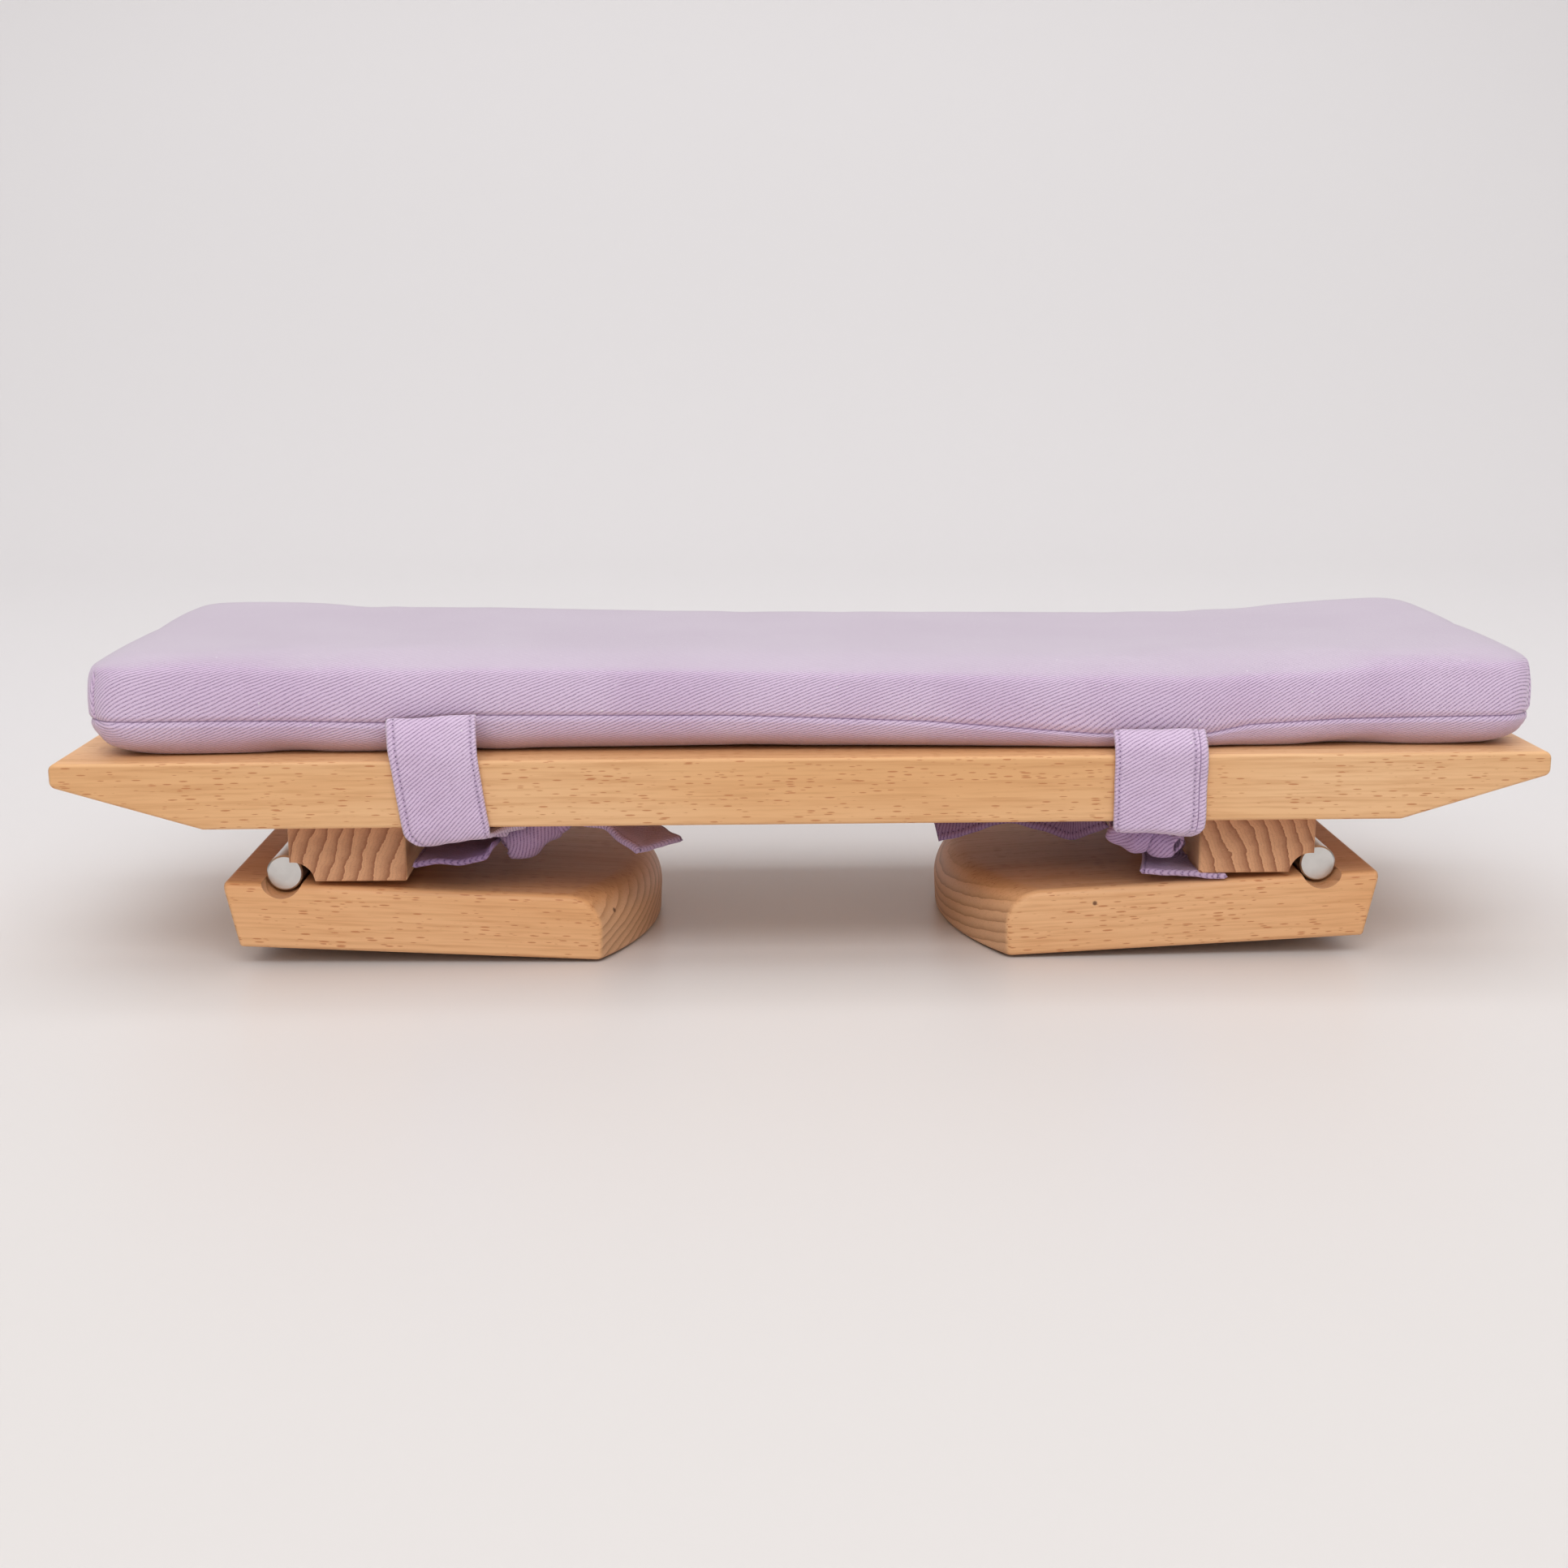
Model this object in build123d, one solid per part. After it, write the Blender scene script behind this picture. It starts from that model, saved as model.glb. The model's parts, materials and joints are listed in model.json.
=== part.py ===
from build123d import *
from math import cos, radians, sin, tan
import os

# A folding kneeling bench of solid beech with a cushion tied on, shown folded.
# +X runs along the seat, +Y from front to back, +Z up. The origin is on the floor, in the middle
# of the footprint. Both legs are folded in under the seat, and the bench lies on their feet.

# Seat board: one plank, its two ends thinned from below by a long chamfer
SEAT_LENGTH = 485.0
SEAT_DEPTH = 155.0
SEAT_THICKNESS = 22.0
SEAT_END_HEIGHT = 7.6
SEAT_CHAMFER_RUN = 48.0
SEAT_EDGE = 1.2
SEAT_END_EDGE = 2.4

# Hinge: a loose steel rod lies between a groove in the leg and a groove in the cleat
HINGE_X = 173.1
ROD_RADIUS = 6.0
ROD_LENGTH = 117.0
ROD_CHAMFER = 0.5
LEG_GROOVE_RADIUS = 7.0
CLEAT_GROOVE_RADIUS = 7.25
CLEAT_GROOVE_IN = 1.15
CLEAT_GROOVE_DROP = 1.9

# Legs: a plank with a slanted hinge end and a foot that is an arc seen from above
LEG_THICKNESS = 22.0
LEG_DEPTH = 131.0
LEG_SIDE_LENGTH = 125.5
LEG_SLANT = 15.0
FOOT_SAGITTA = 18.0
FOOT_ROUNDING = 12.0
FOOT_CORNER = 3.0
LEG_EDGE = 1.5
AXIS_TO_TIP = 19.4
AXIS_TO_FACE = 2.2
END_CLEARANCE = 0.12
REST_TILT = 2.85

# Cleats: the blocks under the seat that carry the rods, with their grain along Y
CLEAT_WIDTH = 38.6
CLEAT_FROM_AXIS = 3.15
CLEAT_TO_LEG = 0.9
CLEAT_EDGE = 0.8

# Glue dowels that hold each cleat to the seat
DOWEL_RADIUS = 4.0
DOWEL_IN_SEAT = 13.0
DOWEL_IN_CLEAT = 13.0
DOWEL_END_GAP = 1.0
DOWEL_GLUE_GAP = 0.05
DOWEL_PLACES = (-42.0, 0.0, 42.0)

# Magnets that hold the rod to both grooves, and the leg to the cleat when it is folded
ROD_MAGNET_RADIUS = 3.0
ROD_MAGNET_LENGTH = 4.0
ROD_MAGNET_PLACES = (-48.0, -16.0, 16.0, 48.0)
ROD_MAGNET_GAP = 0.06
CLEAT_MAGNET_ANGLE = 150.0
FOLD_MAGNET_RADIUS = 5.0
FOLD_MAGNET_LENGTH = 4.0
FOLD_MAGNET_PLACES = (-26.0, 26.0)
FOLD_MAGNET_IN = 22.0
MAGNET_GLUE_GAP = 0.05
KEEPER_THICKNESS = 0.5
KEEPER_WIDTH = 22.0
KEEPER_LENGTH = 111.0
KEEPER_IN = 9.3

# Cushion: a foam slab in a cotton cover, whose top panel and lower panel meet in a seam
CUSHION_LENGTH = 474.0
CUSHION_DEPTH = 146.0
CUSHION_HEIGHT = 31.5
CUSHION_SHIFT_X = 3.5
CUSHION_CORNER = 16.0
CUSHION_TOP_EDGE = 9.0
CUSHION_BOTTOM_EDGE = 9.0
COVER_THICKNESS = 1.2
SEAM_HEIGHT = 11.5
SEAM_GAP = 0.05
SOFT_GAP = 0.3

# Ties: four cotton straps sewn into the seam, knotted in pairs under the seat
TIE_WIDTH = 28.5
TIE_THICKNESS = 1.8
TIE_X = {"left": -116.7, "right": 115.0}
TIE_OFF_EDGE = 1.3
TIE_HANG = 5.5
TIE_BACK_HANG = 2.0
TIE_BEND_HEIGHT = 7.0
TIE_BEND_RADIUS = 1.5
TIE_EDGE_HEIGHT = 1.8
TIE_UNDER_EDGE = 7.0
KNOT_LENGTH = {"left": 22.0, "right": 26.0}
KNOT_DEPTH = 22.0
KNOT_HEIGHT = {"left": 16.5, "right": 12.5}
KNOT_ROUNDING = 5.0
KNOT_X = {"left": -92.5, "right": 114.0}
KNOT_Y = {"left": -46.5, "right": -54.0}
KNOT_UNDER_SEAT = 1.0
TAIL_GAP = 2.6
TAIL_WIDTH = 24.0
TAIL_THICKNESS = 2.0
TAIL_REACH_X = 44.0
TAIL_SHIFT = 6.0
TAIL_DROP = 2.3
TAIL_KNOT_DROP = 6.2
FRONT_TAIL_DROP = 12.3
FRONT_TAIL_LENGTH = 17.0
FRONT_TAIL_WIDTH = 26.0
FRONT_TAIL_IN = 1.0
WEDGE_FROM_AXIS = 31.5
WEDGE_LENGTH = 17.0
WEDGE_THICKNESS = 1.6
WEDGE_LIFT = 0.4
TAIL_IN_FRONT_OF_LEG = 0.5

# Heights and places that follow from the dimensions above
slant = radians(LEG_SLANT)
axis_to_end_face = AXIS_TO_TIP * cos(slant) + AXIS_TO_FACE * sin(slant)
axis_drop = axis_to_end_face + END_CLEARANCE
cleat_height = axis_drop + AXIS_TO_FACE - CLEAT_TO_LEG
leg_face_z = -AXIS_TO_FACE
leg_foot_x = AXIS_TO_TIP - LEG_SIDE_LENGTH
SIDES = {"left": -1, "right": 1}


def mirrored(side, shape):
    """The right-hand shape, or its mirror image for the left-hand side."""
    return shape if side == "right" else mirror(shape, about=Plane.YZ)


def along_y(radius, length):
    """A cylinder lying along Y, its middle at the origin."""
    return Rot(90, 0, 0) * Cylinder(radius, length)


def from_axis(radius, start, length, angle, y):
    """A disc that points away from the Y axis at an angle above +X, from start outwards."""
    disc = Cylinder(radius, length, align=(Align.CENTER, Align.CENTER, Align.MIN))
    return Pos(0, y, 0) * Rot(0, 90 - angle, 0) * Pos(0, 0, start) * disc


def block(x0, x1, y0, y1, z0, z1):
    """A box between two corners."""
    return Pos(x0, y0, z0) * Box(x1 - x0, y1 - y0, z1 - z0, align=(Align.MIN,) * 3)


def seat_board():
    half = SEAT_LENGTH / 2
    flat = half - SEAT_CHAMFER_RUN
    chamfer_top = SEAT_THICKNESS - SEAT_END_HEIGHT
    outline = Polyline(
        (-flat, 0),
        (flat, 0),
        (half, chamfer_top),
        (half, SEAT_THICKNESS),
        (-half, SEAT_THICKNESS),
        (-half, chamfer_top),
        close=True,
    )
    board = extrude(Plane.XZ * make_face(outline), SEAT_DEPTH / 2, both=True)
    end_edges = board.edges().filter_by(Axis.Y).group_by(Axis.X)
    board = fillet(end_edges[0] + end_edges[-1], SEAT_END_EDGE)
    board = fillet(board.edges(), SEAT_EDGE)
    holes = [
        Pos(side * cleat_middle_x, y, 0) * Cylinder(DOWEL_RADIUS + DOWEL_GLUE_GAP, 2 * DOWEL_IN_SEAT)
        for side in SIDES.values()
        for y in DOWEL_PLACES
    ]
    return Pos(0, 0, seat_z) * (board - holes)


def leg_body():
    """The right leg in the hinge's frame, folded flat: its inner face is up and its foot at -X."""
    half = LEG_DEPTH / 2
    top, bottom = leg_face_z, leg_face_z - LEG_THICKNESS
    tip = AXIS_TO_TIP
    side_view = Polyline(
        (tip, top),
        (tip - LEG_THICKNESS * tan(slant), bottom),
        (leg_foot_x - 2 * FOOT_SAGITTA, bottom),
        (leg_foot_x - 2 * FOOT_SAGITTA, top),
        close=True,
    )
    plan = [
        Line((leg_foot_x, half), (tip, half)),
        Line((tip, half), (tip, -half)),
        Line((tip, -half), (leg_foot_x, -half)),
        ThreePointArc((leg_foot_x, -half), (leg_foot_x - FOOT_SAGITTA, 0), (leg_foot_x, half)),
    ]
    body = extrude(Plane.XZ * make_face(side_view), half + 1, both=True)
    body &= extrude(Pos(0, 0, bottom - 1) * make_face(Wire(plan)), LEG_THICKNESS + 2)
    arc_edges = body.edges().filter_by(GeomType.CIRCLE).sort_by(Axis.Z)
    body = fillet(arc_edges[-1], FOOT_ROUNDING)
    upright_edges = body.edges().filter_by(Axis.Z).sort_by(Axis.X)
    body = fillet(upright_edges[:2], FOOT_CORNER)
    return fillet(body.edges(), LEG_EDGE)


def leg():
    """The right leg with its rod groove and magnet pockets, still flat in the hinge's frame."""
    body = leg_body() - along_y(LEG_GROOVE_RADIUS, LEG_DEPTH + 2)
    pocket_start = ROD_RADIUS + ROD_MAGNET_GAP
    return body - [
        from_axis(
            ROD_MAGNET_RADIUS + MAGNET_GLUE_GAP, pocket_start, ROD_MAGNET_LENGTH + MAGNET_GLUE_GAP, -90, y
        )
        for y in ROD_MAGNET_PLACES
    ]


def leg_rod_magnets():
    start = ROD_RADIUS + ROD_MAGNET_GAP
    return [from_axis(ROD_MAGNET_RADIUS, start, ROD_MAGNET_LENGTH, -90, y) for y in ROD_MAGNET_PLACES]


def keeper_plate():
    """The steel strip on the leg's inner face that the fold magnets pull."""
    half = KEEPER_LENGTH / 2
    x1 = -KEEPER_IN
    return block(x1 - KEEPER_WIDTH, x1, -half, half, leg_face_z, leg_face_z + KEEPER_THICKNESS)


def rested(shape):
    """From the hinge's frame to the bench's, with the leg open by its rest tilt."""
    return Pos(HINGE_X, 0, axis_z) * Rot(0, -REST_TILT, 0) * shape


def cleat():
    half = LEG_DEPTH / 2
    x1 = -CLEAT_FROM_AXIS
    z0 = axis_drop - cleat_height
    body = block(x1 - CLEAT_WIDTH, x1, -half, half, z0, axis_drop)
    groove = Pos(x1 - CLEAT_GROOVE_IN, 0, -CLEAT_GROOVE_DROP) * along_y(CLEAT_GROOVE_RADIUS, LEG_DEPTH + 2)
    body = fillet(body.edges() - body.faces().sort_by(Axis.Z)[-1].edges(), CLEAT_EDGE)
    body -= groove
    holes = [
        Pos(-CLEAT_FROM_AXIS - CLEAT_WIDTH / 2, y, axis_drop)
        * Cylinder(DOWEL_RADIUS + DOWEL_GLUE_GAP, 2 * DOWEL_IN_CLEAT)
        for y in DOWEL_PLACES
    ]
    start = ROD_RADIUS + ROD_MAGNET_GAP
    holes += [
        from_axis(
            ROD_MAGNET_RADIUS + MAGNET_GLUE_GAP,
            start,
            ROD_MAGNET_LENGTH + MAGNET_GLUE_GAP,
            CLEAT_MAGNET_ANGLE,
            y,
        )
        for y in ROD_MAGNET_PLACES
    ]
    holes += [
        Pos(-FOLD_MAGNET_IN, y, z0) * Cylinder(FOLD_MAGNET_RADIUS + MAGNET_GLUE_GAP, 2 * FOLD_MAGNET_LENGTH)
        for y in FOLD_MAGNET_PLACES
    ]
    return body - holes


def cleat_rod_magnets():
    start = ROD_RADIUS + ROD_MAGNET_GAP
    return [
        from_axis(ROD_MAGNET_RADIUS, start, ROD_MAGNET_LENGTH, CLEAT_MAGNET_ANGLE, y)
        for y in ROD_MAGNET_PLACES
    ]


def fold_magnets():
    z0 = axis_drop - cleat_height
    disc = Cylinder(
        FOLD_MAGNET_RADIUS,
        FOLD_MAGNET_LENGTH - MAGNET_GLUE_GAP,
        align=(Align.CENTER, Align.CENTER, Align.MIN),
    )
    return [Pos(-FOLD_MAGNET_IN, y, z0) * disc for y in FOLD_MAGNET_PLACES]


def cleat_dowels():
    length = DOWEL_IN_SEAT + DOWEL_IN_CLEAT - 2 * DOWEL_END_GAP
    x = -CLEAT_FROM_AXIS - CLEAT_WIDTH / 2
    dowels = []
    for y in DOWEL_PLACES:
        dowel = Pos(x, y, axis_drop) * Cylinder(DOWEL_RADIUS, length)
        dowels.append(chamfer(dowel.edges().filter_by(GeomType.CIRCLE), ROD_CHAMFER))
    return dowels


def hinge_rod():
    rod = along_y(ROD_RADIUS, ROD_LENGTH)
    return chamfer(rod.edges().filter_by(GeomType.CIRCLE), ROD_CHAMFER)


def cushion_slab(inset):
    """The cushion's outer shape, drawn in by inset on every side."""
    length = CUSHION_LENGTH - 2 * inset
    depth = CUSHION_DEPTH - 2 * inset
    height = CUSHION_HEIGHT - 2 * inset
    plan = RectangleRounded(length, depth, CUSHION_CORNER - inset)
    slab = extrude(plan, height)
    slab = fillet(slab.faces().sort_by(Axis.Z)[-1].edges(), CUSHION_TOP_EDGE - inset)
    slab = fillet(slab.faces().sort_by(Axis.Z)[0].edges(), CUSHION_BOTTOM_EDGE - inset)
    return Pos(CUSHION_SHIFT_X, 0, cushion_z + inset) * slab


def cover_panel(z0, z1):
    """The part of the cover, a skin round the foam, that lies between two heights."""
    skin = cushion_slab(0) - cushion_slab(COVER_THICKNESS)
    reach_x, reach_y = CUSHION_LENGTH, CUSHION_DEPTH
    return skin & block(-reach_x, reach_x, -reach_y, reach_y, z0, z1)


def strap(points, bend, x_middle, width, thickness):
    """A flat strap that follows points, given as (y, z), with bends of one radius."""
    path = FilletPolyline(*points, radius=bend)
    side_view = Plane.YZ * trace(path, line_width=thickness)
    return Pos(x_middle, 0, 0) * extrude(side_view, width / 2, both=True)


def front_tie(side):
    """From the seam down over the seat's front edge, and back under the seat to the knot."""
    seam_y = -CUSHION_DEPTH / 2 - SOFT_GAP - TIE_THICKNESS / 2
    edge_y = -SEAT_DEPTH / 2 - TIE_OFF_EDGE
    points = [
        (seam_y, cushion_z + SEAM_HEIGHT),
        (seam_y, seat_z + SEAT_THICKNESS + TIE_BEND_HEIGHT),
        (edge_y, seat_z + SEAT_THICKNESS + TIE_EDGE_HEIGHT),
        (edge_y, seat_z - TIE_HANG),
        (edge_y + TIE_UNDER_EDGE, seat_z - TIE_HANG),
        (KNOT_Y[side] - KNOT_DEPTH / 2 - SOFT_GAP, seat_z - TAIL_KNOT_DROP),
    ]
    return strap(points, TIE_BEND_RADIUS, TIE_X[side], TIE_WIDTH, TIE_THICKNESS)


def back_tie(side):
    """The same strap at the back edge, with the long run under the seat to the knot."""
    seam_y = CUSHION_DEPTH / 2 + SOFT_GAP + TIE_THICKNESS / 2
    edge_y = SEAT_DEPTH / 2 + TIE_OFF_EDGE
    points = [
        (seam_y, cushion_z + SEAM_HEIGHT),
        (seam_y, seat_z + SEAT_THICKNESS + TIE_BEND_HEIGHT),
        (edge_y, seat_z + SEAT_THICKNESS + TIE_EDGE_HEIGHT),
        (edge_y, seat_z - TIE_BACK_HANG),
        (edge_y - TIE_UNDER_EDGE, seat_z - TIE_BACK_HANG),
        (KNOT_Y[side] + KNOT_DEPTH / 2 + SOFT_GAP, seat_z - TAIL_KNOT_DROP),
    ]
    return strap(points, TIE_BEND_RADIUS, TIE_X[side], TIE_WIDTH, TIE_THICKNESS)


def knot(side):
    length, height = KNOT_LENGTH[side], KNOT_HEIGHT[side]
    middle_z = seat_z - KNOT_UNDER_SEAT - height / 2
    lump = Pos(KNOT_X[side], KNOT_Y[side], middle_z) * Box(length, KNOT_DEPTH, height)
    return fillet(lump.edges(), KNOT_ROUNDING)


def tail(near, far):
    """A flat strap end between two points, its width along Y."""
    start, end = Vector(*near), Vector(*far)
    section = Plane(origin=start, z_dir=end - start, x_dir=(0, 1, 0)) * Rectangle(TAIL_WIDTH, TAIL_THICKNESS)
    return extrude(section, (end - start).length)


def tie_tails(side):
    """The two loose ends that leave the knot, one inwards and one forwards beside the cleat."""
    outward = SIDES[side]
    z = seat_z - TAIL_KNOT_DROP
    y = KNOT_Y[side]
    knot_end = KNOT_X[side] - outward * (KNOT_LENGTH[side] / 2 + TAIL_GAP)
    inward_tail = tail((knot_end, y, z), (outward * TAIL_REACH_X, y + TAIL_SHIFT, z - TAIL_DROP))
    front = -LEG_DEPTH / 2 - TAIL_IN_FRONT_OF_LEG
    if side == "left":
        x0 = TIE_X[side] - TIE_WIDTH / 2 + FRONT_TAIL_IN
        x1 = x0 + FRONT_TAIL_WIDTH
        top = seat_z - FRONT_TAIL_DROP
        return [inward_tail, block(x0, x1, front, front + FRONT_TAIL_LENGTH, top - TAIL_THICKNESS, top)]
    # the right-hand one is caught between the cleat's inner edge and the leg, and props the leg open
    x1 = -WEDGE_FROM_AXIS
    lift = leg_face_z + WEDGE_LIFT
    caught = block(x1 - TIE_WIDTH, x1, front, front + WEDGE_LENGTH, lift, lift + WEDGE_THICKNESS)
    return [inward_tail, rested(caught)]


def save(name, shape):
    solids = shape if isinstance(shape, list) else [shape]
    export_step(Compound(label=name, children=solids) if len(solids) > 1 else solids[0], f"parts/{name}.step")


# The lowest point of the tilted leg is on the floor, and that sets every height above it
flat_leg = leg()
axis_z = -(Rot(0, -REST_TILT, 0) * flat_leg).bounding_box().min.Z
seat_z = axis_z + axis_drop
cushion_z = seat_z + SEAT_THICKNESS + SOFT_GAP
cleat_middle_x = HINGE_X - CLEAT_FROM_AXIS - CLEAT_WIDTH / 2
at_hinge = Pos(HINGE_X, 0, axis_z)

save("seat_board", seat_board())
save("cushion_foam", cushion_slab(COVER_THICKNESS + SEAM_GAP))
seam_z = cushion_z + SEAM_HEIGHT
save("cushion_cover_top", cover_panel(seam_z + SEAM_GAP, cushion_z + CUSHION_HEIGHT + 1))
save("cushion_cover_bottom", cover_panel(cushion_z - 1, seam_z - SEAM_GAP))

for side in SIDES:
    save(f"leg_{side}", mirrored(side, rested(flat_leg)))
    save(f"leg_rod_magnets_{side}", [mirrored(side, rested(m)) for m in leg_rod_magnets()])
    save(f"keeper_plate_{side}", mirrored(side, rested(keeper_plate())))
    save(f"cleat_{side}", mirrored(side, at_hinge * cleat()))
    save(f"cleat_rod_magnets_{side}", [mirrored(side, at_hinge * m) for m in cleat_rod_magnets()])
    save(f"fold_magnets_{side}", [mirrored(side, at_hinge * m) for m in fold_magnets()])
    save(f"cleat_dowels_{side}", [mirrored(side, at_hinge * d) for d in cleat_dowels()])
    save(f"hinge_rod_{side}", mirrored(side, at_hinge * hinge_rod()))
    save(f"tie_front_{side}", front_tie(side))
    save(f"tie_back_{side}", back_tie(side))
    save(f"tie_knot_{side}", knot(side))
    save(f"tie_tails_{side}", tie_tails(side))

print(f"hinge axis at x = ±{HINGE_X}, z = {axis_z:.3f}; seat underside at z = {seat_z:.3f}")
print(f"leg swing from rest to open: {90 + LEG_SLANT - REST_TILT:.2f} degrees")
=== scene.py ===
import json
import math

import bmesh
import bpy
import numpy as np
from mathutils import Matrix, Vector, noise


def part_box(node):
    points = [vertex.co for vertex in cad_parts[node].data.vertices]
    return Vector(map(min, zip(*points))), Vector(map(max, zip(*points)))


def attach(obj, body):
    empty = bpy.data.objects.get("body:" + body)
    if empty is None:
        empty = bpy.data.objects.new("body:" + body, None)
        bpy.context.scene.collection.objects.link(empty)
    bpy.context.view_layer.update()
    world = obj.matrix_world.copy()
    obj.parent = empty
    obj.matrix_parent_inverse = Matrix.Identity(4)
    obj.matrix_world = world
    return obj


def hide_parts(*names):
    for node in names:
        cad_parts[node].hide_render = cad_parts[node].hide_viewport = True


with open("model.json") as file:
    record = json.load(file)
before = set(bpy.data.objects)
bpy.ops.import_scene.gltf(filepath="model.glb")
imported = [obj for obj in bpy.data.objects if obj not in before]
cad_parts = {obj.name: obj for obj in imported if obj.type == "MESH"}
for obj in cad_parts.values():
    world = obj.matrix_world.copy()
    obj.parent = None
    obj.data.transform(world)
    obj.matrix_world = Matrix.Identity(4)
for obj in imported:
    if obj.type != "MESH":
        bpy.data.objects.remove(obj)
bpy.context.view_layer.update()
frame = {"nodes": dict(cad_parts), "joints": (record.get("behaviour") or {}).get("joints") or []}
NODES = frame["nodes"]
MM = 0.001
SIDES = ("left", "right")

# In metres: the seat board's front, back and underside, the cover's two corners, and its seam.
FRONT_Y, BACK_Y = (corner.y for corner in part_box("seat_board"))
UNDER_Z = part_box("cleat_left")[1].z
PAD_LOW, PAD_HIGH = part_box("cushion_cover_bottom")[0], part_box("cushion_cover_top")[1]
SEAM_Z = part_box("cushion_cover_top")[0].z
HINGE = {j["child"].split("_")[1]: Vector(j["pos_m"]) for j in frame["joints"]}


# ---------------------------------------------------------------- camera, stage and light

LENS_MM = 47.815
CAMERA_AT = Vector((-0.02073, -0.73379, 0.20644))
PITCH, YAW, ROLL = 0.21472, 0.02106, -0.004357


def colour(r, g, b):
    """Linear colour from the 0 to 255 values that a screen shows."""
    def linear(v):
        v /= 255
        return v / 12.92 if v <= 0.04045 else ((v + 0.055) / 1.055) ** 2.4

    return (linear(r), linear(g), linear(b), 1.0)


def make_camera():
    data = bpy.data.cameras.new("camera")
    data.sensor_width = 36
    data.lens = LENS_MM
    data.clip_start = 0.01
    camera = bpy.data.objects.new("camera", data)
    bpy.context.scene.collection.objects.link(camera)
    level = Vector((math.sin(YAW), math.cos(YAW), 0))
    side = Vector((math.cos(YAW), -math.sin(YAW), 0))
    ahead = level * math.cos(PITCH) + Vector((0, 0, -math.sin(PITCH)))
    up = level * math.sin(PITCH) + Vector((0, 0, math.cos(PITCH)))
    right = side * math.cos(ROLL) + up * math.sin(ROLL)
    top = up * math.cos(ROLL) - side * math.sin(ROLL)
    turn = Matrix((right, top, -ahead)).transposed().to_4x4()
    camera.matrix_world = Matrix.Translation(CAMERA_AT) @ turn
    bpy.context.scene.camera = camera


def area_light(name, at, aim, size, watts):
    data = bpy.data.lights.new(name, "AREA")
    data.shape = "RECTANGLE"
    data.size, data.size_y = size
    data.energy = watts
    lamp = bpy.data.objects.new(name, data)
    bpy.context.scene.collection.objects.link(lamp)
    lamp.location = at
    lamp.rotation_euler = (Vector(aim) - Vector(at)).to_track_quat("-Z", "Y").to_euler()


class Look:
    """A procedural material and short ways to add nodes to it."""

    def __init__(self, name, **shader):
        self.material = bpy.data.materials.new(name)
        self.material.use_nodes = True
        self.tree = self.material.node_tree
        self.shader = self.tree.nodes["Principled BSDF"]
        for socket, value in shader.items():
            self.shader.inputs[socket.replace("_", " ")].default_value = value

    def put(self, target, value):
        if isinstance(value, bpy.types.NodeSocket):
            self.tree.links.new(value, target)
        else:
            target.default_value = value

    def add(self, kind, inputs=None, **settings):
        node = self.tree.nodes.new("ShaderNode" + kind)
        for name, value in settings.items():
            setattr(node, name, value)
        for name, value in (inputs or {}).items():
            self.put(node.inputs[name], value)
        return node

    def math(self, operation, *values):
        return self.add("Math", dict(enumerate(values)), operation=operation).outputs[0]

    def plus(self, a, b):
        return self.math("ADD", a, b)

    def minus(self, a, b):
        return self.math("SUBTRACT", a, b)

    def times(self, a, b):
        return self.math("MULTIPLY", a, b)

    def over(self, a, b):
        return self.math("DIVIDE", a, b)

    def size(self, value):
        return self.math("ABSOLUTE", value)

    def length(self, a, b):
        return self.math("SQRT", self.plus(self.times(a, a), self.times(b, b)))

    def facing(self, axis):
        """How squarely the surface faces along X, Y or Z (0, 1 or 2), either way."""
        return self.size(self.split(self.place("Normal"))[axis])

    def mix(self, share, a, b, blend="MIX"):
        """Colour a, and b where share is 1."""
        node = self.add("Mix", {0: share, 6: a, 7: b}, data_type="RGBA", blend_type=blend)
        return node.outputs[2]

    def smooth(self, value, low, high):
        """0 below low, 1 above high, eased between."""
        inputs = {"Value": value, "From Min": low, "From Max": high}
        node = self.add("MapRange", inputs, interpolation_type="SMOOTHSTEP")
        return node.outputs[0]

    def place(self, kind="Object"):
        return self.add("TexCoord").outputs[kind]

    def turned(self, vector, scale=(1, 1, 1), rotation=(0, 0, 0), shift=(0, 0, 0)):
        inputs = {"Vector": vector, "Scale": scale, "Rotation": rotation, "Location": shift}
        return self.add("Mapping", inputs).outputs[0]

    def noise(self, vector, scale=1.0, detail=2.0, rough=0.5):
        inputs = {"Vector": vector, "Scale": scale, "Detail": detail, "Roughness": rough}
        return self.add("TexNoise", inputs).outputs["Fac"]

    def split(self, vector):
        node = self.add("SeparateXYZ", {0: vector})
        return node.outputs[0], node.outputs[1], node.outputs[2]

    def join(self, x, y, z):
        return self.add("CombineXYZ", {0: x, 1: y, 2: z}).outputs[0]

    def tinted(self, base, tone):
        return self.mix(1.0, base, tuple(tone) + (1,), blend="MULTIPLY")

    def bump(self, height, distance):
        node = self.add("Bump", {"Height": height, "Distance": distance})
        self.put(self.shader.inputs["Normal"], node.outputs[0])

    def colour(self, value):
        self.put(self.shader.inputs["Base Color"], value)

    def roughness(self, value):
        self.put(self.shader.inputs["Roughness"], value)


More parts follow.
